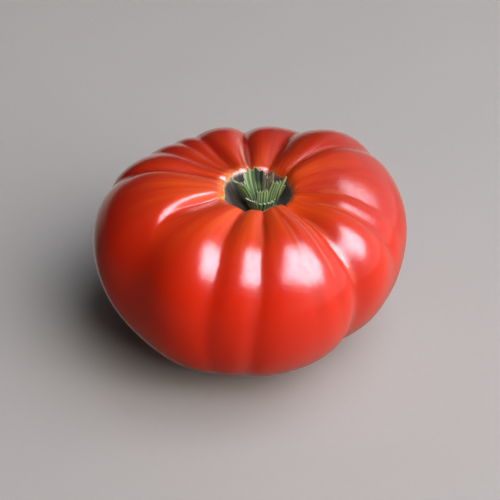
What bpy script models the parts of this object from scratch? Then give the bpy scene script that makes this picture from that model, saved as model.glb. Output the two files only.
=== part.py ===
"""A ribbed beefsteak tomato with the trimmed calyx in its stem cavity.

Two solids share one frame: +Z up, the origin at the centre of the fruit's box, on the surface it stands on.
The fruit is a round body, folded inwards along creases that run from the stem cavity down its sides.
"""

import math

import bmesh
import bpy
import numpy as np
from mathutils import Vector

MM = 0.001

# The fruit: half of its outline, from the blossom end round to the floor of the stem cavity, as the control
# points of one smooth curve, (distance from the axis, height).
WIDEST = 59.0 * MM
SHOULDER_HEIGHT = 70.3 * MM
CAVITY_FLOOR = 54.0 * MM
CAVITY_RADIUS = 9.6 * MM
BLOSSOM_DIMPLE = 2.1 * MM
FOOT_RADIUS = 21.0 * MM
OUTLINE = [
    (-0.2 * FOOT_RADIUS, BLOSSOM_DIMPLE),
    (0.0, BLOSSOM_DIMPLE),
    (0.2 * FOOT_RADIUS, 0.9 * BLOSSOM_DIMPLE),
    (0.45 * FOOT_RADIUS, 0.0),
    (0.7 * FOOT_RADIUS, 0.0),
    (FOOT_RADIUS, 0.0),
    (0.58 * WIDEST, 3.5 * MM),
    (0.79 * WIDEST, 14.0 * MM),
    (0.95 * WIDEST, 29.0 * MM),
    (WIDEST, 45.5 * MM),
    (0.93 * WIDEST, 59.0 * MM),
    (0.73 * WIDEST, SHOULDER_HEIGHT - 2.7 * MM),
    (0.525 * WIDEST, SHOULDER_HEIGHT),
    (15.2 * MM, SHOULDER_HEIGHT - 3.1 * MM),
    (CAVITY_RADIUS + 1.7 * MM, 64.0 * MM),
    (CAVITY_RADIUS, CAVITY_FLOOR),
    (0.4 * CAVITY_RADIUS, CAVITY_FLOOR),
    (0.0, CAVITY_FLOOR),
    (-0.4 * CAVITY_RADIUS, CAVITY_FLOOR),
]
SHOULDER = 0.62  # how far along the outline, of 1, the creases have their stated direction
CAVITY_RIM = 0.85  # where the creases stop veering
FOLD_FADE = 0.70  # where they start to fade into the cavity
CAVITY_CALM = 0.86  # where the cavity is plain
STEM_OFFSET = (4.0 * MM, -1.3 * MM)  # from the body's axis to the cavity's
OFFSET_START = 0.6  # where on the outline the skin starts to shift towards it
SETTLE = 0.3 * MM  # how much of the underside its own weight presses flat

# The creases: direction in degrees, how it veers above and below the shoulder in degrees per unit of outline,
# depth, half width in degrees on its right and on its left as seen from outside, roundness of the bottom, and
# where on the outline it starts and is full.
CREASES = [
    (91.0, 50.0, 0.0, 5.5 * MM, 5.5, 5.5, 0.12, 0.30, 0.80),
    (62.0, 45.0, 0.0, 3.0 * MM, 8.0, 5.0, 0.40, 0.30, 0.75),
    (29.0, 45.0, 0.0, 3.8 * MM, 14.0, 6.0, 0.30, 0.30, 0.70),
    (-12.0, 30.0, 0.0, 3.0 * MM, 15.0, 4.0, 0.45, 0.40, 0.70),
    (-23.0, 0.0, 0.0, 3.0 * MM, 9.0, 5.0, 0.30, 0.35, 0.65),
    (-47.0, 30.0, -8.0, 5.6 * MM, 15.0, 5.5, 0.25, 0.10, 0.60),
    (-55.0, 0.0, 0.0, 0.8 * MM, 4.0, 4.0, 0.50, 0.35, 0.60),
    (-64.0, 0.0, 0.0, 0.6 * MM, 4.0, 4.0, 0.60, 0.35, 0.60),
    (-83.5, 26.0, 26.0, 2.5 * MM, 7.0, 7.0, 0.30, 0.15, 0.60),
    (-102.0, -38.0, 10.0, 3.0 * MM, 9.0, 7.0, 0.30, 0.20, 0.60),
    (-138.0, -130.0, 10.0, 4.4 * MM, 12.0, 2.6, 0.40, 0.60, 0.78),
    (-195.0, -60.0, 0.0, 2.2 * MM, 7.0, 4.0, 0.25, 0.30, 0.65),
    (-218.0, -20.0, 0.0, 1.6 * MM, 6.0, 6.0, 0.30, 0.30, 0.65),
    (-232.0, 10.0, 0.0, 1.4 * MM, 5.0, 5.0, 0.30, 0.30, 0.65),
    (-244.0, 38.0, 0.0, 2.5 * MM, 6.0, 6.0, 0.30, 0.30, 0.70),
]
# Where the body swells (+) or falls back (-): direction, place on the outline, height, and its width in degrees
# and along the outline.
SWELLS = [
    (85.0, 0.60, -4.0 * MM, 45.0, 0.25),
    (140.0, 0.60, -3.5 * MM, 32.0, 0.25),
    (37.0, 0.62, 4.9 * MM, 19.0, 0.20),
    (0.0, 0.58, 1.8 * MM, 22.0, 0.16),
    (-22.0, 0.38, 1.0 * MM, 16.0, 0.12),
    (-38.0, 0.56, 3.0 * MM, 12.0, 0.10),
    (-60.0, 0.56, 0.8 * MM, 10.0, 0.10),
    (190.0, 0.50, -1.8 * MM, 35.0, 0.20),
    (215.0, 0.36, 1.0 * MM, 40.0, 0.08),
    (-138.0, 0.30, -1.1 * MM, 25.0, 0.10),
    (-58.0, 0.23, -4.6 * MM, 22.0, 0.10),
    (-45.0, 0.80, 1.6 * MM, 30.0, 0.06),
    (-137.0, 0.54, -4.0 * MM, 14.0, 0.11),
    (-165.0, 0.85, 2.0 * MM, 26.0, 0.06),
    (-92.0, 0.79, 1.0 * MM, 34.0, 0.05),
    (142.0, 0.80, 1.6 * MM, 30.0, 0.05),
]
STRIP_DEGREES = 3.6  # the widest strip of faces between two creases
LEAST_STRIPS = 4
# Rings of faces over the underside, the sides and the cavity, and where on the outline each stretch ends.
RING_COUNTS = (5, 27, 6)
RING_ENDS = (0.0, 0.25, 0.80, 1.0)

# The calyx: a small disc over the cavity's floor, with the trimmed and torn sepals standing on it.
GAP = 0.3 * MM
CALYX_OFFSET = (1.6 * MM, 2.1 * MM)  # from the cavity's centre
DISC_RADIUS = 5.6 * MM
DISC_FOOT_RADIUS = 3.9 * MM
DISC_THICK = 1.8 * MM
DISC_SIDES = 20
BLADE_THICK = 0.7 * MM
RIB_HEIGHT = 0.2 * MM
RAGGED = 0.05  # unevenness of the cut tops, of the blade's length
RAGGED_TURN = 2.7
BLADE_COLUMNS = 8  # twice the ribs of a blade
BLADE_ROWS = 5
POINT_COLUMN = 7
SPINE_STEPS = 12
# Each sepal: direction it stands in and the way its outer face looks, in degrees; distance of its root from the
# centre, length, half width at the root and at the top; lean from upright at the root and at the top, and half
# the angle it is rolled through, in degrees; slope of its cut top, how much its corners are cut back, and how
# far one corner runs on as a point.
SEPALS = [
    (182.0, -122.0, 3.9 * MM, 11.6 * MM, 2.6 * MM, 2.9 * MM, 20.0, 30.0, 25.0, -0.02, 0.0, 0.0),
    (133.0, 128.0, 3.5 * MM, 12.4 * MM, 3.4 * MM, 5.8 * MM, 22.0, 14.0, 75.0, -0.08, 0.22, 0.0),
    (72.0, 75.0, 3.2 * MM, 9.4 * MM, 1.8 * MM, 1.7 * MM, 16.0, 10.0, 15.0, 0.1, 0.0, 0.0),
    (50.0, 60.0, 3.9 * MM, 11.4 * MM, 0.8 * MM, 0.5 * MM, 12.0, 6.0, 5.0, 0.0, 0.0, 0.0),
    (-8.0, -80.0, 3.0 * MM, 11.4 * MM, 2.4 * MM, 2.6 * MM, 10.0, 18.0, 20.0, 0.0, 0.0, 0.22),
    (-92.0, -92.0, 2.8 * MM, 8.2 * MM, 1.8 * MM, 2.0 * MM, 0.0, -4.0, 20.0, 0.06, 0.0, 0.0),
    (-138.0, -122.0, 4.0 * MM, 5.6 * MM, 2.3 * MM, 2.2 * MM, 12.0, 24.0, 25.0, 0.0, 0.1, 0.0),
    (-70.0, -74.0, 4.1 * MM, 5.6 * MM, 2.6 * MM, 2.9 * MM, 12.0, 24.0, 25.0, 0.1, 0.05, 0.0),
    (20.0, 25.0, 3.9 * MM, 8.0 * MM, 2.0 * MM, 2.2 * MM, 24.0, 32.0, 15.0, -0.1, 0.0, 0.0),
]

SKIN_RED = (0.58, 0.026, 0.006, 1.0)
CALYX_GREEN = (0.10, 0.20, 0.045, 1.0)


def remove_all_objects():
    for obj in list(bpy.data.objects):
        bpy.data.objects.remove(obj)


def finish(name, colour, roughness):
    """A material with one colour, named for the part that wears it."""
    made = bpy.data.materials.new(name)
    made.use_nodes = True
    shader = made.node_tree.nodes["Principled BSDF"]
    shader.inputs["Base Color"].default_value = colour
    shader.inputs["Roughness"].default_value = roughness
    shader.inputs["Metallic"].default_value = 0.0
    return made


def ease(x):
    """0 to 1 as x goes from 0 to 1, level at both ends."""
    x = np.clip(x, 0.0, 1.0)
    return x * x * (3.0 - 2.0 * x)


def outline_at(t):
    """The point on the outline at t from 0 to 1, and the direction it runs in there (a cubic B-spline)."""
    control = np.array(OUTLINE)
    spans = len(control) - 3
    along = np.clip(t, 0.0, 1.0) * spans
    span = np.minimum(along.astype(int), spans - 1)
    f = (along - span)[..., None]
    p0, p1, p2, p3 = (control[span + k] for k in range(4))
    point = ((1 - f) ** 3 * p0 + (3 * f**3 - 6 * f**2 + 4) * p1 + (-3 * f**3 + 3 * f**2 + 3 * f + 1) * p2
             + f**3 * p3) / 6
    run = -((1 - f) ** 2) * p0 + (3 * f**2 - 4 * f) * p1 + (-3 * f**2 + 2 * f + 1) * p2 + f**2 * p3
    return point, run / np.linalg.norm(run, axis=-1, keepdims=True)


def crease_direction(crease, t):
    """The crease's direction in degrees at t. It veers up to the cavity's rim, and is straight inside."""
    t = np.minimum(t, CAVITY_RIM)
    return crease[0] + np.where(t > SHOULDER, crease[1], crease[2]) * (t - SHOULDER)


def turned(degrees):
    """The same angle between -180 and 180."""
    return (degrees + 180.0) % 360.0 - 180.0


def fruit_point(t, azimuth):
    """The skin's point at t on the outline and azimuth in degrees. Both are arrays of one shape."""
    point, run = outline_at(t)
    push = np.zeros_like(t)
    calm = 1.0 - ease((t - FOLD_FADE) / (CAVITY_CALM - FOLD_FADE))
    for crease in CREASES:
        depth, right, left, roundness, start, full = crease[3:]
        across = turned(azimuth - crease_direction(crease, t))
        across /= np.where(across > 0.0, right, left)
        fold = np.exp(roundness - np.sqrt(across**2 + roundness**2))
        push -= depth * fold * ease((t - start) / (full - start)) * calm
    for direction, place, height, width, reach in SWELLS:
        across = turned(azimuth - direction) / width
        push += height * np.exp(-(across**2) - ((t - place) / reach) ** 2) * calm
    radius = point[..., 0] + push * run[..., 1]
    height = np.maximum(point[..., 1] - push * run[..., 0] - SETTLE, 0.0)
    angle = np.radians(azimuth)
    share = ease((t - OFFSET_START) / (CAVITY_RIM - OFFSET_START))
    return np.stack([radius * np.cos(angle) + STEM_OFFSET[0] * share,
                     radius * np.sin(angle) + STEM_OFFSET[1] * share, height], -1)


def strip_directions(t):
    """The azimuths of the fruit's strips at t, so that one edge follows the bottom of every crease."""
    found = []
    for this, after in zip(CREASES, CREASES[1:] + CREASES[:1]):
        gap = (this[0] - after[0]) % 360.0
        strips = max(LEAST_STRIPS, math.ceil(gap / STRIP_DEGREES))
        start = crease_direction(this, t)
        width = (start - crease_direction(after, t)) % 360.0
        found += [start - width * k / strips for k in range(strips)]
    return np.array(found)


def ring_places():
    """Where on the outline each ring of points lies, from the blossom end to the cavity's floor."""
    places = [0.0]
    for count, start, end in zip(RING_COUNTS, RING_ENDS, RING_ENDS[1:]):
        places += [start + (end - start) * (k + 1) / count for k in range(count)]
    return places


def closed_rings(bm, rings):
    """Joins rings of points into a closed skin. The first and last entry are single points."""
    made = [[bm.verts.new(p) for p in ring] for ring in rings]
    for lower, upper in zip(made, made[1:]):
        count = max(len(lower), len(upper))
        for k in range(count):
            n = (k + 1) % count
            corners = [lower[k % len(lower)], lower[n % len(lower)]]
            corners += [upper[n % len(upper)], upper[k % len(upper)]]
            bm.faces.new(list(dict.fromkeys(corners)))
    bmesh.ops.recalc_face_normals(bm, faces=bm.faces)


def object_from(bm, name, material):
    mesh = bpy.data.meshes.new(name)
    bm.to_mesh(mesh)
    bm.free()
    mesh.materials.append(material)
    mesh.shade_smooth()
    made = bpy.data.objects.new(name, mesh)
    bpy.context.scene.collection.objects.link(made)
    return made


def fruit_rings():
    """The fruit's points, ring by ring, and the shift that centres its box on the origin."""
    places = ring_places()
    rings = []
    for t in places:
        azimuths = strip_directions(t)
        rings.append(fruit_point(np.full(len(azimuths), t), azimuths))
    cloud = np.concatenate(rings)
    centre = (cloud.min(axis=0) + cloud.max(axis=0)) / 2.0
    shift = np.array([-centre[0], -centre[1], 0.0])
    rings = [ring + shift for ring in rings]
    rings[0] = rings[0].mean(axis=0, keepdims=True)
    rings[-1] = rings[-1].mean(axis=0, keepdims=True)
    return rings, shift


def make_fruit():
    rings, shift = fruit_rings()
    bm = bmesh.new()
    closed_rings(bm, [[Vector(p) for p in ring] for ring in rings])
    made = object_from(bm, "fruit", finish("skin_red", SKIN_RED, 0.22))
    return made, Vector(shift)


def make_disc(foot):
    """The calyx's disc, narrower below, clear of the cavity's bowl."""
    bm = bmesh.new()
    bmesh.ops.create_cone(bm, cap_ends=True, segments=DISC_SIDES, radius1=DISC_FOOT_RADIUS, radius2=DISC_RADIUS,
                          depth=DISC_THICK)
    bmesh.ops.translate(bm, verts=bm.verts, vec=foot + Vector((0, 0, DISC_THICK / 2)))
    return bm


def spine_point(length, lean_root, lean_top, s):
    """Distance out and up from a blade's root at s of its length, and its lean there, which eases upwards."""
    out = up = 0.0
    for k in range(SPINE_STEPS):
        lean = math.radians(lean_root + (lean_top - lean_root) * s * (k + 0.5) / SPINE_STEPS)
        out += math.sin(lean) * length * s / SPINE_STEPS
        up += math.cos(lean) * length * s / SPINE_STEPS
    return out, up, math.radians(lean_root + (lean_top - lean_root) * s)


def make_sepal(foot, index, sepal):
    """One sepal: a rolled blade, ribbed along its length, with a ragged cut top."""
    direction, facing, root, length, width_root, width_top = sepal[:6]
    lean_root, lean_top, roll, slope, peak, point = sepal[6:]
    angle = math.radians(direction)
    outward = Vector((math.cos(angle), math.sin(angle), 0.0))
    across = Vector((-math.sin(math.radians(facing)), math.cos(math.radians(facing)), 0.0))
    bm = bmesh.new()
    verts = {}
    for row in range(BLADE_ROWS + 1):
        for column in range(BLADE_COLUMNS + 1):
            x = 2.0 * column / BLADE_COLUMNS - 1.0
            reach = 1.0 + slope * x - peak * x * x + RAGGED * math.sin(RAGGED_TURN * column + index)
            if column == POINT_COLUMN:
                reach += point
            s = row / BLADE_ROWS * reach
            out, up, lean = spine_point(length, lean_root, lean_top, s)
            along = outward * math.sin(lean) + Vector((0, 0, math.cos(lean)))
            normal = across.cross(along).normalized()
            curl = x * math.radians(roll)
            radius = (width_root + (width_top - width_root) * row / BLADE_ROWS) / math.radians(roll)
            middle = foot + outward * (root + out) + Vector((0, 0, up + 0.5 * DISC_THICK))
            middle += across * (radius * math.sin(curl)) - normal * (radius * (1.0 - math.cos(curl)))
            half = normal * math.cos(curl) + across * math.sin(curl)
            half *= BLADE_THICK / 2 + RIB_HEIGHT * (column % 2)
            verts[0, row, column] = bm.verts.new(middle - half)
            verts[1, row, column] = bm.verts.new(middle + half)

    def triangles(a, b, c, d):
        bm.faces.new([verts[key] for key in (a, b, c)])
        bm.faces.new([verts[key] for key in (a, c, d)])

    for row in range(BLADE_ROWS):
        for column in range(BLADE_COLUMNS):
            for side in (0, 1):
                triangles((side, row, column), (side, row, column + 1), (side, row + 1, column + 1),
                          (side, row + 1, column))
        for column in (0, BLADE_COLUMNS):
            triangles((0, row, column), (1, row, column), (1, row + 1, column), (0, row + 1, column))
    for column in range(BLADE_COLUMNS):
        for row in (0, BLADE_ROWS):
            triangles((0, row, column), (1, row, column), (1, row, column + 1), (0, row, column + 1))
    bmesh.ops.recalc_face_normals(bm, faces=bm.faces)
    return bm


def make_calyx(foot):
    """The disc with every sepal joined to it as one solid."""
    green = finish("calyx_green", CALYX_GREEN, 0.6)
    calyx = object_from(make_disc(foot), "calyx", green)
    leaves = bpy.data.collections.new("sepals")
    bpy.context.scene.collection.children.link(leaves)
    for index, sepal in enumerate(SEPALS):
        blade = object_from(make_sepal(foot, index, sepal), f"sepal_{index + 1}", green)
        bpy.context.scene.collection.objects.unlink(blade)
        leaves.objects.link(blade)
    join = calyx.modifiers.new("join sepals", "BOOLEAN")
    join.operation = "UNION"
    join.operand_type = "COLLECTION"
    join.collection = leaves
    join.solver = "EXACT"
    bpy.context.view_layer.objects.active = calyx
    bpy.ops.object.modifier_apply(modifier=join.name)
    for blade in list(leaves.objects):
        bpy.data.objects.remove(blade)
    bpy.data.collections.remove(leaves)
    return calyx


def main():
    remove_all_objects()
    _, shift = make_fruit()
    foot = Vector((STEM_OFFSET[0] + CALYX_OFFSET[0], STEM_OFFSET[1] + CALYX_OFFSET[1],
                   CAVITY_FLOOR - SETTLE + GAP))
    make_calyx(foot + shift)


main()
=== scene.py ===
"""The looks of a ribbed beefsteak tomato: its glossy folded skin, and the trimmed green calyx in its cavity.

Everything is in metres, +Z up. The fruit stands on the origin and is seen from its -Y side.
"""

import math

import bpy
import numpy as np
from mathutils import Matrix, Vector


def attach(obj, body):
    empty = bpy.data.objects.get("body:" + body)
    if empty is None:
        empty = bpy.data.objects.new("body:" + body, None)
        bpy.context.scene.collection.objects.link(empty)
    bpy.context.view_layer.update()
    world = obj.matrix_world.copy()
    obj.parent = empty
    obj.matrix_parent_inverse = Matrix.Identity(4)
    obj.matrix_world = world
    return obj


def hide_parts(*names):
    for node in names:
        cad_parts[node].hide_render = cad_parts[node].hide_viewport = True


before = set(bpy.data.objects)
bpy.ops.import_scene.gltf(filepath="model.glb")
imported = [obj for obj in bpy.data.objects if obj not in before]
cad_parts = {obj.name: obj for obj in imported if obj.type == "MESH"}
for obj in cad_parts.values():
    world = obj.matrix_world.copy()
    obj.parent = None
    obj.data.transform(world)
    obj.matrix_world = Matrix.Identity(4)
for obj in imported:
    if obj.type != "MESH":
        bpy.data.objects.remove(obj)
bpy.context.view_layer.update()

MM = 0.001
UPRIGHT = np.array([0.0, 0.0, 1.0])

# The fruit: half of its outline, from the blossom end round to the floor of the stem cavity, as the control
# points of one smooth curve, (distance from the axis, height).
WIDEST = 59.0 * MM
SHOULDER_HEIGHT = 70.3 * MM
CAVITY_FLOOR = 54.0 * MM
CAVITY_RADIUS = 9.6 * MM
BLOSSOM_DIMPLE = 2.1 * MM
FOOT_RADIUS = 21.0 * MM
OUTLINE = [
    (-0.2 * FOOT_RADIUS, BLOSSOM_DIMPLE),
    (0.0, BLOSSOM_DIMPLE),
    (0.2 * FOOT_RADIUS, 0.9 * BLOSSOM_DIMPLE),
    (0.45 * FOOT_RADIUS, 0.0),
    (0.7 * FOOT_RADIUS, 0.0),
    (FOOT_RADIUS, 0.0),
    (0.58 * WIDEST, 3.5 * MM),
    (0.79 * WIDEST, 14.0 * MM),
    (0.95 * WIDEST, 29.0 * MM),
    (WIDEST, 45.5 * MM),
    (0.93 * WIDEST, 59.0 * MM),
    (0.73 * WIDEST, SHOULDER_HEIGHT - 2.7 * MM),
    (0.525 * WIDEST, SHOULDER_HEIGHT),
    (15.2 * MM, SHOULDER_HEIGHT - 3.1 * MM),
    (CAVITY_RADIUS + 1.7 * MM, 64.0 * MM),
    (CAVITY_RADIUS, CAVITY_FLOOR),
    (0.4 * CAVITY_RADIUS, CAVITY_FLOOR),
    (0.0, CAVITY_FLOOR),
    (-0.4 * CAVITY_RADIUS, CAVITY_FLOOR),
]
SHOULDER = 0.62  # how far along the outline, of 1, the creases have their stated direction
CAVITY_RIM = 0.85  # where the creases stop veering
FOLD_FADE = 0.70  # where they start to fade into the cavity
CAVITY_CALM = 0.86  # where the cavity is plain
STEM_OFFSET = (4.0 * MM, -1.3 * MM)  # from the body's axis to the cavity's
OFFSET_START = 0.6  # where on the outline the skin starts to shift towards it
SETTLE = 0.3 * MM  # how much of the underside its own weight presses flat

# The creases: direction in degrees, how it veers above and below the shoulder in degrees per unit of
# outline, depth, half width in degrees on its right and on its left as seen from outside, roundness of the
# bottom, and where on the outline it starts and is full.
CREASES = [
    (91.0, 50.0, 0.0, 5.5 * MM, 5.5, 5.5, 0.12, 0.30, 0.80),
    (62.0, 45.0, 0.0, 3.0 * MM, 8.0, 5.0, 0.40, 0.30, 0.75),
    (29.0, 45.0, 0.0, 3.8 * MM, 14.0, 6.0, 0.30, 0.30, 0.70),
    (-12.0, 30.0, 0.0, 3.0 * MM, 15.0, 4.0, 0.45, 0.40, 0.70),
    (-23.0, 0.0, 0.0, 3.0 * MM, 9.0, 5.0, 0.30, 0.35, 0.65),
    (-47.0, 30.0, -8.0, 5.6 * MM, 15.0, 5.5, 0.25, 0.10, 0.60),
    (-55.0, 0.0, 0.0, 0.8 * MM, 4.0, 4.0, 0.50, 0.35, 0.60),
    (-64.0, 0.0, 0.0, 0.6 * MM, 4.0, 4.0, 0.60, 0.35, 0.60),
    (-83.5, 26.0, 26.0, 2.5 * MM, 7.0, 7.0, 0.30, 0.15, 0.60),
    (-102.0, -38.0, 10.0, 3.0 * MM, 9.0, 7.0, 0.30, 0.20, 0.60),
    (-138.0, -130.0, 10.0, 4.4 * MM, 12.0, 2.6, 0.40, 0.60, 0.78),
    (-195.0, -60.0, 0.0, 2.2 * MM, 7.0, 4.0, 0.25, 0.30, 0.65),
    (-218.0, -20.0, 0.0, 1.6 * MM, 6.0, 6.0, 0.30, 0.30, 0.65),
    (-232.0, 10.0, 0.0, 1.4 * MM, 5.0, 5.0, 0.30, 0.30, 0.65),
    (-244.0, 38.0, 0.0, 2.5 * MM, 6.0, 6.0, 0.30, 0.30, 0.70),
]
# Where the body swells (+) or falls back (-): direction, place on the outline, height, and its width in
# degrees and along the outline.
SWELLS = [
    (85.0, 0.60, -4.0 * MM, 45.0, 0.25),
    (140.0, 0.60, -3.5 * MM, 32.0, 0.25),
    (37.0, 0.62, 4.9 * MM, 19.0, 0.20),
    (0.0, 0.58, 1.8 * MM, 22.0, 0.16),
    (-22.0, 0.38, 1.0 * MM, 16.0, 0.12),
    (-38.0, 0.56, 3.0 * MM, 12.0, 0.10),
    (-60.0, 0.56, 0.8 * MM, 10.0, 0.10),
    (190.0, 0.50, -1.8 * MM, 35.0, 0.20),
    (215.0, 0.36, 1.0 * MM, 40.0, 0.08),
    (-138.0, 0.30, -1.1 * MM, 25.0, 0.10),
    (-58.0, 0.23, -4.6 * MM, 22.0, 0.10),
    (-45.0, 0.80, 1.6 * MM, 30.0, 0.06),
    (-137.0, 0.54, -4.0 * MM, 14.0, 0.11),
    (-165.0, 0.85, 2.0 * MM, 26.0, 0.06),
    (-92.0, 0.79, 1.0 * MM, 34.0, 0.05),
    (142.0, 0.80, 1.6 * MM, 30.0, 0.05),
]
SKIN_SEGMENTS = 400
SKIN_RINGS = 240

# The pale band beside the first crease, partly a stretch mark and partly a painted reflection on the lit
# wall of
# the groove: how far to its side and how wide, in the crease's half widths, then where on the outline it
# comes and goes, over what length, and how strong it is.
SCAR_AND_REFLECTION_SIDE = 0.35
SCAR_AND_REFLECTION_WIDTH = 0.3
SCAR_AND_REFLECTION_START = 0.66
SCAR_AND_REFLECTION_RISE = 0.06
SCAR_AND_REFLECTION_END = 0.79
SCAR_AND_REFLECTION_FALL = 0.02
SCAR_AND_REFLECTION_STRENGTH = 0.8

# The calyx: a small disc over the cavity's floor, with the trimmed and torn sepals standing on it.
GAP = 0.3 * MM
CALYX_OFFSET = (1.6 * MM, 2.1 * MM)  # from the cavity's centre
DISC_RADIUS = 5.6 * MM
DISC_FOOT_RADIUS = 3.9 * MM
DISC_THICK = 1.8 * MM
DISC_SIDES = 48
DISC_ROUNDING = 0.5 * MM
DISC_ROUNDING_STEPS = 3
SHARP_EDGE = math.radians(50.0)
BLADE_THICK = 0.45 * MM
BLADE_COLUMNS = 61
BLADE_ROWS = 21
SPINE_STEPS = 12
RIBS = 5
RIB_HEIGHT = 0.35 * MM
RIB_SHARPNESS = 1.4
RIB_STRAY = 0.09  # how far the ribs stray sideways, of half a blade's width
RIB_STRAY_TURN = 3.3
RIB_STRAY_CHANGE = 1.7  # how differently they stray from one sepal to the next
RIB_WANDER = 0.03  # how far they wander on their way up
RIB_WANDER_TURN = 6.0
RAGGED = 0.05  # unevenness of the cut tops, of the blade's length
RAGGED_TURN = 2.7
NOTCHES = 0.4  # its finer notches, of that unevenness
NOTCHES_TURN = 9.0
POINT_PLACE = 0.8  # where on its right half a blade runs on as a point
POINT_WIDTH = 0.12
# Each sepal: direction it stands in and the way its outer face looks, in degrees; distance of its root from
# the centre, length, half width at the root and at the top; lean from upright at the root and at the top,
# and half the angle it is rolled through, in degrees; slope of its cut top, how much its corners are cut
# back, how far one corner runs on as a point, and how dried up it is, from 0 to 1.
SEPALS = [
    (182.0, -122.0, 3.9 * MM, 11.6 * MM, 2.6 * MM, 2.9 * MM, 20.0, 30.0, 25.0, -0.02, 0.0, 0.0, 0.0),
    (133.0, 128.0, 3.5 * MM, 12.4 * MM, 3.4 * MM, 5.8 * MM, 22.0, 14.0, 75.0, -0.08, 0.22, 0.0, 0.0),
    (72.0, 75.0, 3.2 * MM, 9.4 * MM, 1.8 * MM, 1.7 * MM, 16.0, 10.0, 15.0, 0.1, 0.0, 0.0, 0.8),
    (50.0, 60.0, 3.9 * MM, 11.4 * MM, 0.8 * MM, 0.5 * MM, 12.0, 6.0, 5.0, 0.0, 0.0, 0.0, 1.0),
    (-8.0, -80.0, 3.0 * MM, 11.4 * MM, 2.4 * MM, 2.6 * MM, 10.0, 18.0, 20.0, 0.0, 0.0, 0.22, 0.0),
    (-92.0, -92.0, 2.8 * MM, 8.2 * MM, 1.8 * MM, 2.0 * MM, 0.0, -4.0, 20.0, 0.06, 0.0, 0.0, 0.0),
    (-138.0, -122.0, 4.0 * MM, 5.6 * MM, 2.3 * MM, 2.2 * MM, 12.0, 24.0, 25.0, 0.0, 0.1, 0.0, 0.4),
    (-70.0, -74.0, 4.1 * MM, 5.6 * MM, 2.6 * MM, 2.9 * MM, 12.0, 24.0, 25.0, 0.1, 0.05, 0.0, 0.0),
    (20.0, 25.0, 3.9 * MM, 8.0 * MM, 2.0 * MM, 2.2 * MM, 24.0, 32.0, 15.0, -0.1, 0.0, 0.0, 0.6),
]
# The painted shade in the hollow of the rolled sepal: which one it is, how dark, where it starts across and
# along the blade, where it ends, and how softly.
HOLLOW_SEPAL = 1
HOLLOW_SHADE = 0.85
HOLLOW_SIDE = -0.15
HOLLOW_FOOT = 0.42
HOLLOW_TOP = 0.95
HOLLOW_BLEND = 0.25

# The skin's colours, and where on the outline it turns orange, cracks, turns amber, corky, and into the
# cavity's wall: start and full of each.
# The two shaded reds are painted shade on the back of the fruit; the front red is painted lighter, as if
# more light fell there.
SHADED_RED = (0.32, 0.006, 0.002, 1)
PATCHY_SHADED_RED = (0.38, 0.009, 0.003, 1)
LIT_FRONT_RED = (0.56, 0.018, 0.003, 1)
GRAIN_RED = (0.50, 0.04, 0.008, 1)
SHOULDER_ORANGE = (0.70, 0.085, 0.006, 1)
CREASE_SHADE_RED = (0.28, 0.005, 0.002, 1)
CREASE_CORK_AND_GLINT = (0.70, 0.20, 0.10, 1)
CRACK_CREAM = (0.90, 0.42, 0.22, 1)
RIM_AMBER = (0.70, 0.24, 0.03, 1)
SCAR_AND_REFLECTION_PINK = (0.72, 0.42, 0.36, 1)
CORK_TAN = (0.46, 0.27, 0.11, 1)
WALL_DARK = (0.020, 0.010, 0.002, 1)
WALL_BROWN = (0.075, 0.046, 0.008, 1)
ORANGE_BAND = (0.57, 0.76)
CRACK_BAND = (0.72, 0.77)
AMBER_BAND = (0.77, 0.80)
CORK_BAND = (0.802, 0.808)
WALL_BAND = (0.808, 0.818)
ORANGE_STRENGTH = 0.85
CREASE_CORK_AND_GLINT_STRENGTH = 0.2
CRACK_STRENGTH = 0.6
SKIN_ROUGHNESS = (0.17, 0.23)
CORK_ROUGHNESS = 0.45  # added to the skin's
WALL_ROUGHNESS = 0.3  # added to the cork's
COAT = 0.25
COAT_ROUGHNESS = 0.12
SKIN_IOR = 1.4

# The calyx's colours.
GREEN_DARK = (0.040, 0.100, 0.016, 1)
GREEN_LIGHT = (0.095, 0.19, 0.036, 1)
FIBRE_PALE = (0.26, 0.38, 0.13, 1)
FIBRE_DARK = (0.022, 0.05, 0.010, 1)
RIB_PALE = (0.36, 0.48, 0.20, 1)
PAINTED_FURROW_SHADE = (0.020, 0.045, 0.010, 1)
PAINTED_ROOT_SHADE = (0.014, 0.030, 0.006, 1)
CUT_PALE = (0.40, 0.46, 0.24, 1)
PAINTED_HOLLOW_SHADE = (0.006, 0.012, 0.004, 1)
DRIED_DARK = (0.10, 0.06, 0.03, 1)
DRIED_PALE = (0.42, 0.32, 0.20, 1)
CALYX_ROUGHNESS = 0.55

# The floor.
FLOOR_SIZE = 6.0
FLOOR_DARK = (0.26, 0.253, 0.236, 1)
FLOOR_LIGHT = (0.288, 0.28, 0.262, 1)
FLOOR_GRAIN = (0.27, 0.25, 0.23, 1)
FLOOR_ROUGHNESS = 0.9

# How many patches and grains of mottling there are to a metre.
SKIN_MOTTLING = (45.0, 900.0)
CALYX_MOTTLING = (350.0, 2500.0)
FLOOR_MOTTLING = (12.0, 400.0)

# The photograph's view: its square frame is 500 across, and the fruit is 312 of those wide for 115 mm.
FRAME_WIDTH = 500
FOCAL = 1277  # in the same units
VIEW_SCALE = 312 / (115.0 * MM)
VIEW_ELEVATION = math.radians(40.0)
VIEW_TARGET = Vector((-0.2, 0.975, 34.8)) * MM
SENSOR = 36.0

# The soft lights' places: azimuth in degrees, 0 on the viewer's side and 90 to the right, elevation in
# degrees, distance, and width and height. Then each light's power in watts and its colour.
WINDOW_PLACE = (68.0, 62.0, 0.9, (0.76, 0.76))
FILL_PLACE = (48.0, 37.0, 3.0, (3.0, 1.8))
WINDOW_LIGHT = (3.5, (1.0, 0.98, 0.98))
WINDOW_SHEEN = (95.0, (0.90, 0.88, 1.06))
FILL_LIGHT = (110.0, (1.0, 0.95, 0.90))
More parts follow.
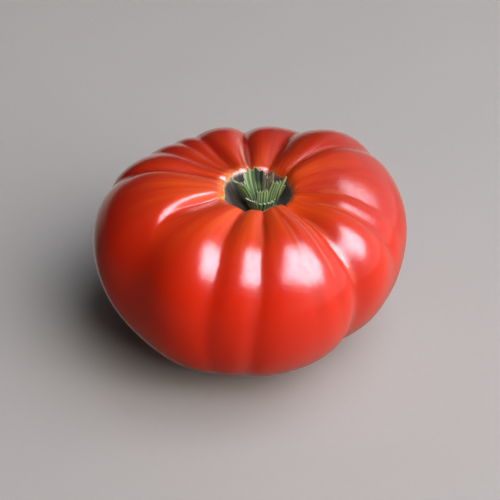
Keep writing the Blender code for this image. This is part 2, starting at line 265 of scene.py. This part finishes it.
# The room's light above and below the horizon, from its dark left, 0, to its bright right, 1.
ROOM_LEVELS = [
    (0.15, (0.015, 0.015, 0.015, 1.0)),
    (0.5, (0.06, 0.06, 0.06, 1.0)),
    (0.8, (0.75, 0.75, 0.75, 1.0)),
    (1.0, (1.5, 1.4, 1.4, 1.0)),
]
GROUND_LEVELS = [
    (0.45, (0.07, 0.06, 0.05, 1.0)),
    (0.9, (0.60, 0.54, 0.48, 1.0)),
]
GROUND_BEHIND = (0.3, 0.9)  # from where towards the back the ground brightens too, and where it is full
HORIZON_BLEND = -0.1  # how far below the horizon the room gives way to the ground


def ease(x):
    """0 to 1 as x goes from 0 to 1, level at both ends."""
    x = np.clip(x, 0.0, 1.0)
    return x * x * (3.0 - 2.0 * x)


def outline_at(t):
    """The point on the outline at t from 0 to 1, and the direction it runs in there (a cubic B-spline)."""
    control = np.array(OUTLINE)
    spans = len(control) - 3
    along = np.clip(t, 0.0, 1.0) * spans
    span = np.minimum(along.astype(int), spans - 1)
    f = (along - span)[..., None]
    p0, p1, p2, p3 = (control[span + k] for k in range(4))
    point = ((1 - f) ** 3 * p0 + (3 * f**3 - 6 * f**2 + 4) * p1 + (-3 * f**3 + 3 * f**2 + 3 * f + 1) * p2
             + f**3 * p3) / 6
    run = -((1 - f) ** 2) * p0 + (3 * f**2 - 4 * f) * p1 + (-3 * f**2 + 2 * f + 1) * p2 + f**2 * p3
    return point, run / np.linalg.norm(run, axis=-1, keepdims=True)


def crease_direction(crease, t):
    """The crease's direction in degrees at t. It veers up to the cavity's rim, and is straight inside."""
    direction, veer_above, veer_below = crease[:3]
    t = np.minimum(t, CAVITY_RIM)
    return direction + np.where(t > SHOULDER, veer_above, veer_below) * (t - SHOULDER)


def turned(degrees):
    """The same angle between -180 and 180."""
    return (degrees + 180.0) % 360.0 - 180.0


def fold_share(t):
    """How much of the folds is left at t: all on the body, none in the cavity."""
    return 1.0 - ease((t - FOLD_FADE) / (CAVITY_CALM - FOLD_FADE))


def fold_depths(t, azimuth):
    """How far each crease pulls the skin in at t and azimuth, one array per crease."""
    depths = []
    for crease in CREASES:
        depth, right, left, roundness, start, full = crease[3:]
        across = turned(azimuth - crease_direction(crease, t))
        across /= np.where(across > 0.0, right, left)
        fold = np.exp(roundness - np.sqrt(across**2 + roundness**2))
        depths.append(depth * fold * ease((t - start) / (full - start)) * fold_share(t))
    return depths


def fruit_point(t, azimuth):
    """The skin's point at t on the outline and azimuth in degrees. Both are arrays of one shape."""
    point, run = outline_at(t)
    push = -sum(fold_depths(t, azimuth))
    for direction, place, height, width, reach in SWELLS:
        across = turned(azimuth - direction) / width
        push += height * np.exp(-(across**2) - ((t - place) / reach) ** 2) * fold_share(t)
    radius = point[..., 0] + push * run[..., 1]
    height = np.maximum(point[..., 1] - push * run[..., 0] - SETTLE, 0.0)
    angle = np.radians(azimuth)
    share = ease((t - OFFSET_START) / (CAVITY_RIM - OFFSET_START))
    return np.stack([radius * np.cos(angle) + STEM_OFFSET[0] * share,
                     radius * np.sin(angle) + STEM_OFFSET[1] * share, height], -1)


def deselect_all():
    """Leaves edit mode and deselects every object."""
    if bpy.context.object and bpy.context.object.mode != "OBJECT":
        bpy.ops.object.mode_set(mode="OBJECT")
    bpy.ops.object.select_all(action="DESELECT")


def mesh_points(mesh):
    """The mesh's points, one row each."""
    flat = np.empty(len(mesh.vertices) * 3)
    mesh.vertices.foreach_get("co", flat)
    return flat.reshape(-1, 3)


def place_points(mesh, points):
    """Moves the mesh's points to those given."""
    mesh.vertices.foreach_set("co", np.asarray(points, dtype=np.float64).ravel())
    mesh.update()


def paint(mesh, name, values):
    """Keeps one number per point of the mesh under that name, for the material to read."""
    layer = mesh.attributes.new(name, "FLOAT", "POINT")
    layer.data.foreach_set("value", np.asarray(values, dtype=np.float32).ravel())


def paint_vectors(mesh, name, vectors):
    """Keeps one vector per point of the mesh under that name, for the material to read."""
    layer = mesh.attributes.new(name, "FLOAT_VECTOR", "POINT")
    layer.data.foreach_set("vector", np.asarray(vectors, dtype=np.float32).ravel())


def make_skin():
    """The fruit's skin: a sphere whose points are sent to the fruit's folded surface."""
    deselect_all()
    bpy.ops.mesh.primitive_uv_sphere_add(segments=SKIN_SEGMENTS, ring_count=SKIN_RINGS, radius=1.0)
    skin = bpy.context.object
    skin.name = "fruit_skin"
    unit = mesh_points(skin.data)
    t = 0.5 + np.arcsin(np.clip(unit[:, 2], -1.0, 1.0)) / math.pi
    azimuth = np.degrees(np.arctan2(unit[:, 1], unit[:, 0]))
    points = fruit_point(t, azimuth)
    for end in (0.0, 1.0):
        pole = np.isclose(t, end)
        points[pole, 0] = STEM_OFFSET[0] * end
        points[pole, 1] = STEM_OFFSET[1] * end
    centre = (points.min(axis=0) + points.max(axis=0)) / 2.0
    shift = np.array([-centre[0], -centre[1], 0.0])
    place_points(skin.data, points + shift)
    deepest = np.max([depth / crease[3] for depth, crease in zip(fold_depths(t, azimuth), CREASES)], axis=0)
    paint(skin.data, "fold", deepest)
    paint(skin.data, "place", t)
    turn = np.radians(azimuth)
    paint_vectors(skin.data, "rays", np.stack([np.cos(turn), np.sin(turn), t], -1))
    # The pale band on the groove's lit wall: partly a stretch mark, partly a painted reflection.
    beside = turned(azimuth - crease_direction(CREASES[0], t)) / CREASES[0][4]
    scar_and_reflection = np.exp(-(((beside - SCAR_AND_REFLECTION_SIDE) / SCAR_AND_REFLECTION_WIDTH) ** 2)) * ease((t - SCAR_AND_REFLECTION_START) / SCAR_AND_REFLECTION_RISE)
    paint(skin.data, "scar_and_reflection", SCAR_AND_REFLECTION_STRENGTH * scar_and_reflection * (1.0 - ease((t - SCAR_AND_REFLECTION_END) / SCAR_AND_REFLECTION_FALL)))
    bpy.ops.object.shade_smooth()
    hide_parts("fruit")
    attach(skin, "root")
    return skin, shift


def spine_points(length, lean_root, lean_top, s):
    """How far out and up from its root a blade is at s of its length, and its lean there."""
    out = np.zeros_like(s)
    up = np.zeros_like(s)
    for k in range(SPINE_STEPS):
        lean = np.radians(lean_root + (lean_top - lean_root) * s * (k + 0.5) / SPINE_STEPS)
        out += np.sin(lean) * length * s / SPINE_STEPS
        up += np.cos(lean) * length * s / SPINE_STEPS
    return out, up, np.radians(lean_root + (lean_top - lean_root) * s)


def level_way(degrees):
    """The level direction at that angle round the axis."""
    return np.array([math.cos(math.radians(degrees)), math.sin(math.radians(degrees)), 0.0])


def make_sepal(foot, index, sepal):
    """One sepal: a grid rolled and leant into a ribbed blade, then given its thickness."""
    direction, facing, root, length, width_root, width_top = sepal[:6]
    lean_root, lean_top, roll, slope, peak, point, dry = sepal[6:]
    deselect_all()
    bpy.ops.mesh.primitive_grid_add(x_subdivisions=BLADE_COLUMNS - 1, y_subdivisions=BLADE_ROWS - 1,
                                    size=2.0)
    blade = bpy.context.object
    flat = mesh_points(blade.data)
    x = flat[:, 0]
    rise = (flat[:, 1] + 1.0) / 2.0
    notches = NOTCHES * np.sin(NOTCHES_TURN * (x + 1.0) * RIBS)
    ragged = RAGGED * (np.sin(RAGGED_TURN * (x + 1.0) * RIBS + index) + notches)
    corner = point * np.exp(-(((x - POINT_PLACE) / POINT_WIDTH) ** 2))
    s = rise * (1.0 + slope * x - peak * x * x + ragged + corner)
    out, up, lean = spine_points(length, lean_root, lean_top, s)
    outward = level_way(direction)
    faced = level_way(facing)
    across = np.array([-faced[1], faced[0], 0.0])
    along = outward * np.sin(lean)[:, None] + UPRIGHT * np.cos(lean)[:, None]
    normal = np.cross(across, along)
    normal /= np.linalg.norm(normal, axis=1, keepdims=True)
    curl = (x * math.radians(roll))[:, None]
    radius = ((width_root + (width_top - width_root) * rise) / math.radians(roll))[:, None]
    points = np.array(foot) + outward * (root + out)[:, None]
    points += UPRIGHT * (up + 0.5 * DISC_THICK)[:, None]
    points += across * (radius * np.sin(curl)) - normal * (radius * (1.0 - np.cos(curl)))
    stray = RIB_STRAY * np.sin(RIB_STRAY_TURN * x + RIB_STRAY_CHANGE * index)
    uneven = x + stray + RIB_WANDER * np.sin(RIB_WANDER_TURN * rise + index)
    rib = np.abs(np.sin(math.pi * RIBS * (uneven + 1.0) / 2.0)) ** RIB_SHARPNESS
    points += (normal * np.cos(curl) + across * np.sin(curl)) * (RIB_HEIGHT * (rib - 0.5))[:, None]
    place_points(blade.data, points)
    paint(blade.data, "rib", rib)
    paint(blade.data, "rise", rise)
    paint(blade.data, "dry", np.full_like(x, dry))
    # Painted shade in the hollow of the rolled sepal.
    inside = HOLLOW_SHADE * (index == HOLLOW_SEPAL) * ease((HOLLOW_SIDE - x) / HOLLOW_BLEND)
    paint(blade.data, "shade", inside * ease((rise - HOLLOW_FOOT) / HOLLOW_BLEND) * (rise < HOLLOW_TOP))
    paint_vectors(blade.data, "blade", np.stack([x, s, np.full_like(x, index)], -1))
    thick = blade.modifiers.new("thickness", "SOLIDIFY")
    thick.thickness = BLADE_THICK
    thick.offset = 0.0
    bpy.ops.object.modifier_apply(modifier=thick.name)
    return blade


def make_calyx(foot):
    """The calyx: its disc with all the sepals, joined as one piece."""
    deselect_all()
    middle = Vector(foot) + Vector((0, 0, DISC_THICK / 2))
    bpy.ops.mesh.primitive_cone_add(vertices=DISC_SIDES, radius1=DISC_FOOT_RADIUS, radius2=DISC_RADIUS,
                                    depth=DISC_THICK, location=middle)
    disc = bpy.context.object
    bpy.ops.object.transform_apply(location=True, rotation=True, scale=True)
    soften = disc.modifiers.new("rounded_edge", "BEVEL")
    soften.width = DISC_ROUNDING
    soften.segments = DISC_ROUNDING_STEPS
    bpy.ops.object.modifier_apply(modifier=soften.name)
    count = len(disc.data.vertices)
    for name in ("rib", "rise", "dry", "shade"):
        paint(disc.data, name, np.zeros(count))
    paint_vectors(disc.data, "blade", mesh_points(disc.data) / DISC_RADIUS)
    blades = [make_sepal(foot, index, sepal) for index, sepal in enumerate(SEPALS)]
    deselect_all()
    for blade in blades:
        blade.select_set(True)
    disc.select_set(True)
    bpy.context.view_layer.objects.active = disc
    bpy.ops.object.join()
    disc.name = "calyx_sepals"
    bpy.ops.object.shade_smooth_by_angle(angle=SHARP_EDGE)
    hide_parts("calyx")
    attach(disc, "root")
    return disc


class Nodes:
    """A short way to add and link the nodes of a material or of the room."""

    def __init__(self, tree):
        self.tree = tree

    def put(self, node, inputs):
        """Links or sets the named inputs of a node."""
        for name, value in inputs.items():
            if isinstance(value, bpy.types.NodeSocket):
                self.tree.links.new(value, node.inputs[name])
            else:
                node.inputs[name].default_value = value

    def add(self, kind, inputs, **settings):
        node = self.tree.nodes.new(kind)
        for name, value in settings.items():
            setattr(node, name, value)
        self.put(node, inputs)
        return node

    def coordinates(self, kind):
        return self.add("ShaderNodeTexCoord", {}).outputs[kind]

    def attribute(self, name, output="Fac"):
        return self.add("ShaderNodeAttribute", {}, attribute_name=name).outputs[output]

    def noise(self, vector, scale, detail):
        inputs = {"Vector": vector, "Scale": scale, "Detail": detail}
        return self.add("ShaderNodeTexNoise", inputs).outputs["Fac"]

    def mottled(self, group, vector, scales):
        """The patches and the grain of the shared mottling."""
        patch_scale, grain_scale = scales
        inputs = {"Vector": vector, "Patch Scale": patch_scale, "Grain Scale": grain_scale}
        marks = self.add("ShaderNodeGroup", inputs, node_tree=group)
        return marks.outputs["Patches"], marks.outputs["Grain"]

    def span(self, value, low, high, to_low=0.0, to_high=1.0, way="SMOOTHSTEP"):
        """to_low to to_high as the value goes from low to high."""
        inputs = {"Value": value, "From Min": low, "From Max": high, "To Min": to_low, "To Max": to_high}
        return self.add("ShaderNodeMapRange", inputs, interpolation_type=way).outputs["Result"]

    def stretched(self, vector, factors):
        inputs = {0: vector, 1: factors}
        return self.add("ShaderNodeVectorMath", inputs, operation="MULTIPLY").outputs["Vector"]

    def split(self, vector, axis):
        return self.add("ShaderNodeSeparateXYZ", {"Vector": vector}).outputs[axis]

    def maths(self, operation, a, b):
        return self.add("ShaderNodeMath", {0: a, 1: b}, operation=operation).outputs[0]

    def mix(self, factor, a, b):
        return self.add("ShaderNodeMix", {"Factor": factor, 6: a, 7: b}, data_type="RGBA").outputs[2]

    def ramp(self, factor, levels):
        """A colour that runs through the levels, each a place from 0 to 1 and its colour."""
        node = self.add("ShaderNodeValToRGB", {"Fac": factor})
        first, last = node.color_ramp.elements
        first.position, first.color = levels[0]
        last.position, last.color = levels[-1]
        for place, colour in levels[1:-1]:
            node.color_ramp.elements.new(place).color = colour
        return node.outputs["Color"]

    def bump(self, height, strength, distance, **under):
        """The normal of a bump, which may lie over another one's Normal."""
        inputs = {"Height": height, "Strength": strength, "Distance": distance, **under}
        return self.add("ShaderNodeBump", inputs).outputs["Normal"]


def new_material(name):
    """A material, its nodes and its shader."""
    made = bpy.data.materials.new(name)
    made.use_nodes = True
    return made, Nodes(made.node_tree), made.node_tree.nodes["Principled BSDF"]


def mottling_group():
    """Mottling of two sizes, which the skin, the calyx and the floor share."""
    group = bpy.data.node_groups.new("mottling", "ShaderNodeTree")
    group.interface.new_socket("Vector", in_out="INPUT", socket_type="NodeSocketVector")
    for name in ("Patch Scale", "Grain Scale"):
        group.interface.new_socket(name, in_out="INPUT", socket_type="NodeSocketFloat")
    for name in ("Patches", "Grain"):
        group.interface.new_socket(name, in_out="OUTPUT", socket_type="NodeSocketFloat")
    n = Nodes(group)
    given = group.nodes.new("NodeGroupInput").outputs
    result = group.nodes.new("NodeGroupOutput")
    for scale, name, detail in (("Patch Scale", "Patches", 3.0), ("Grain Scale", "Grain", 4.0)):
        n.put(result, {name: n.noise(given["Vector"], given[scale], detail)})
    return group


def skin_material(mottling):
    """Waxy red skin, more orange round the cavity, with a corky rim and a brownish wall inside it, and
    painted shade towards the back and in the creases.
    """
    made, n, shader = new_material("tomato_skin")
    where = n.coordinates("Object")
    place = n.attribute("place")
    fold = n.attribute("fold")
    rays = n.attribute("rays", "Vector")
    rightward = n.split(rays, "X")
    backward = n.split(rays, "Y")
    patches, grain = n.mottled(mottling, where, SKIN_MOTTLING)
    streaks = n.noise(n.stretched(rays, (9.0, 9.0, 5.0)), 1.0, 3.0)
    fibres = n.noise(n.stretched(rays, (40.0, 40.0, 12.0)), 1.0, 2.0)

    colour = n.mix(n.span(patches, 0.3, 0.7), SHADED_RED, PATCHY_SHADED_RED)
    # Painted shade: the red darkens towards the back and lightens towards the front, and the orange fades
    # towards the back.
    depth = n.maths("ADD", n.split(where, "Y"), n.span(patches, 0.2, 0.8, -0.01, 0.01))
    colour = n.mix(n.span(depth, 0.03, -0.045), colour, LIT_FRONT_RED)
    colour = n.mix(n.span(grain, 0.45, 0.75, 0.0, 0.07), colour, GRAIN_RED)
    shoulder = n.span(place, *ORANGE_BAND)
    orange = n.maths("MULTIPLY", shoulder, n.span(streaks, 0.25, 0.75, 0.25, 1.0))
    orange = n.maths("MULTIPLY", orange, n.span(depth, 0.03, -0.01, 0.45, 1.0))
    colour = n.mix(n.maths("MULTIPLY", orange, ORANGE_STRENGTH), colour, SHOULDER_ORANGE)
    # Painted shade: darker red down in the creases.
    colour = n.mix(n.span(fold, 0.55, 0.9, 0.0, 0.25), colour, CREASE_SHADE_RED)
    # A pale line at the creases' bottoms, partly a corky line and partly a painted highlight, kept mostly to
    # the creases on the right, where the light falls.
    cork_and_glint = n.maths("MULTIPLY", n.span(fold, 0.93, 0.985), n.span(rightward, -0.2, 0.6))
    colour = n.mix(n.maths("MULTIPLY", cork_and_glint, CREASE_CORK_AND_GLINT_STRENGTH), colour, CREASE_CORK_AND_GLINT)
    cracks = n.maths("MULTIPLY", n.span(fibres, 0.68, 0.74), n.span(place, *CRACK_BAND))
    colour = n.mix(n.maths("MULTIPLY", cracks, CRACK_STRENGTH), colour, CRACK_CREAM)
    frayed = n.maths("ADD", place, n.span(fibres, 0.2, 0.8, -0.006, 0.006))
    amber = n.maths("MULTIPLY", n.span(frayed, *AMBER_BAND), n.span(rightward, -1.0, 0.2, 0.5, 0.1))
    colour = n.mix(amber, colour, RIM_AMBER)
    # The pale band beside the first crease: partly a stretch mark, partly a painted reflection.
    colour = n.mix(n.attribute("scar_and_reflection"), colour, SCAR_AND_REFLECTION_PINK)
    corky = n.maths("ADD", frayed, n.span(backward, -1.0, -0.2, 0.012, 0.0))
    cork = n.maths("MULTIPLY", n.span(corky, *CORK_BAND), n.span(rightward, -0.8, 0.3, 1.0, 0.15))
    colour = n.mix(cork, colour, CORK_TAN)
    wall = n.span(frayed, *WALL_BAND)
    colour = n.mix(wall, colour, n.mix(n.span(streaks, 0.35, 0.65), WALL_DARK, WALL_BROWN))

    dull = n.maths("MAXIMUM", cork, wall)
    rough = n.span(grain, 0.3, 0.7, *SKIN_ROUGHNESS)
    rough = n.maths("ADD", rough, n.maths("MULTIPLY", dull, CORK_ROUGHNESS))
    rough = n.maths("ADD", rough, n.maths("MULTIPLY", wall, WALL_ROUGHNESS))
    waves = n.bump(n.noise(where, 90.0, 2.0), 0.22, 0.5 * MM)
    ridges = n.bump(n.maths("MULTIPLY", fibres, shoulder), 0.3, 0.3 * MM, Normal=waves)
    n.put(shader, {
        "Base Color": colour,
        "Roughness": rough,
        "Coat Weight": n.span(dull, 0.0, 1.0, COAT, 0.0),
        "Coat Roughness": COAT_ROUGHNESS,
        "IOR": SKIN_IOR,
        "Subsurface Weight": 0.2,
        "Subsurface Radius": (5.0 * MM, 1.5 * MM, 0.8 * MM),
        "Subsurface Scale": 1.0,
        "Normal": n.bump(grain, 0.12, 0.1 * MM, Normal=ridges),
    })
    return made


def calyx_material(mottling):
    """Fibrous green, paler along the ribs and at the cut tops, brown where a sepal has dried, with painted
    shade in the furrows, at the root and in the rolled sepal's hollow.
    """
    made, n, shader = new_material("calyx_green")
    rib = n.attribute("rib")
    rise = n.attribute("rise")
    patches, grain = n.mottled(mottling, n.coordinates("Object"), CALYX_MOTTLING)
    fibres = n.noise(n.stretched(n.attribute("blade", "Vector"), (22.0, 2.2, 5.0)), 1.0, 3.0)

    colour = n.mix(n.span(patches, 0.3, 0.7), GREEN_DARK, GREEN_LIGHT)
    colour = n.mix(n.span(fibres, 0.5, 0.72, 0.0, 0.6), colour, FIBRE_PALE)
    colour = n.mix(n.span(fibres, 0.5, 0.3, 0.0, 0.6), colour, FIBRE_DARK)
    colour = n.mix(n.span(rib, 0.6, 1.0, 0.0, 0.6), colour, RIB_PALE)
    # Painted shade: darker green down in the furrows between the ribs.
    colour = n.mix(n.span(rib, 0.35, 0.0, 0.0, 0.6), colour, PAINTED_FURROW_SHADE)
    # Painted shade: the sepals darken towards their roots, down in the cavity.
    colour = n.mix(n.span(rise, 0.3, 0.05, 0.0, 0.7), colour, PAINTED_ROOT_SHADE)
    colour = n.mix(n.span(rise, 0.95, 1.0, 0.0, 0.35), colour, CUT_PALE)
    # Painted shade in the rolled sepal's hollow.
    colour = n.mix(n.attribute("shade"), colour, PAINTED_HOLLOW_SHADE)
    colour = n.mix(n.attribute("dry"), colour, n.mix(n.span(fibres, 0.35, 0.65), DRIED_DARK, DRIED_PALE))

    n.put(shader, {
        "Base Color": colour,
        "Roughness": CALYX_ROUGHNESS,
        "Subsurface Weight": 0.15,
        "Subsurface Radius": (0.8 * MM, 1.2 * MM, 0.3 * MM),
        "Subsurface Scale": 1.0,
        "Normal": n.bump(grain, 0.4, 0.1 * MM, Normal=n.bump(fibres, 0.5, 0.3 * MM)),
    })
    return made


def floor_material(mottling):
    """Plain pale grey, hardly mottled."""
    made, n, shader = new_material("pale_floor")
    patches, grain = n.mottled(mottling, n.coordinates("Object"), FLOOR_MOTTLING)
    pale = n.mix(patches, FLOOR_DARK, FLOOR_LIGHT)
    colour = n.mix(n.span(grain, 0.3, 0.7, 0.0, 0.3), pale, FLOOR_GRAIN)
    n.put(shader, {"Base Color": colour, "Roughness": FLOOR_ROUGHNESS})
    return made


def make_floor(mottling):
    """The floor, which no reflection shows: the room stands in for it there."""
    deselect_all()
    bpy.ops.mesh.primitive_plane_add(size=FLOOR_SIZE)
    floor = bpy.context.object
    floor.name = "floor"
    floor.data.materials.append(floor_material(mottling))
    floor.visible_glossy = False


def make_camera():
    """The photograph's camera."""
    lens = bpy.data.cameras.new("view")
    lens.sensor_width = SENSOR
    lens.lens = SENSOR * FOCAL / FRAME_WIDTH
    camera = bpy.data.objects.new("view", lens)
    bpy.context.scene.collection.objects.link(camera)
    back = Vector((0.0, -math.cos(VIEW_ELEVATION), math.sin(VIEW_ELEVATION)))
    camera.location = VIEW_TARGET + back * (FOCAL / VIEW_SCALE)
    camera.rotation_euler = (-back).to_track_quat("-Z", "Y").to_euler()
    bpy.context.scene.camera = camera


def soft_light(name, place, shine):
    """A rectangular soft light that looks at the fruit."""
    azimuth, elevation, distance, size = place
    data = bpy.data.lights.new(name, "AREA")
    data.shape = "RECTANGLE"
    data.size, data.size_y = size
    data.energy, data.color = shine
    light = bpy.data.objects.new(name, data)
    bpy.context.scene.collection.objects.link(light)
    a, e = math.radians(azimuth), math.radians(elevation)
    away = Vector((math.cos(e) * math.sin(a), -math.cos(e) * math.cos(a), math.sin(e)))
    upward = (Vector((0.0, 1.0, 0.0)) - away * away.y).normalized()
    sideways = upward.cross(away)
    turn = Matrix((sideways, upward, away)).transposed()
    light.matrix_world = Matrix.LocRotScale(VIEW_TARGET + away * distance, turn, None)
    return light


def make_lights():
    """The window, whose reflection is a light of its own, and a broad fill on the viewer's side."""
    soft_light("window", WINDOW_PLACE, WINDOW_LIGHT)
    soft_light("window_sheen", WINDOW_PLACE, WINDOW_SHEEN).visible_diffuse = False
    soft_light("fill", FILL_PLACE, FILL_LIGHT).visible_glossy = False


def make_room():
    """The light of the room: dark on the left, bright on the right, and dimmer below the horizon."""
    world = bpy.data.worlds.new("room")
    world.use_nodes = True
    bpy.context.scene.world = world
    n = Nodes(world.node_tree)
    sight = n.coordinates("Generated")
    rightward = n.span(n.split(sight, "X"), -1.0, 1.0, way="LINEAR")
    behind = n.span(n.split(sight, "Y"), *GROUND_BEHIND, way="LINEAR")
    above = n.span(n.split(sight, "Z"), HORIZON_BLEND, 0.0, way="LINEAR")
    ground = n.ramp(n.maths("MAXIMUM", rightward, behind), GROUND_LEVELS)
    light = n.mix(above, ground, n.ramp(rightward, ROOM_LEVELS))
    n.put(world.node_tree.nodes["Background"], {"Color": light})
    bpy.context.scene.view_settings.view_transform = "Standard"


make_camera()
skin, shift = make_skin()
mottling = mottling_group()
skin.data.materials.append(skin_material(mottling))
foot = np.array([STEM_OFFSET[0] + CALYX_OFFSET[0], STEM_OFFSET[1] + CALYX_OFFSET[1],
                 CAVITY_FLOOR - SETTLE + GAP]) + shift
calyx = make_calyx(foot)
calyx.data.materials.append(calyx_material(mottling))
make_floor(mottling)
make_lights()
make_room()
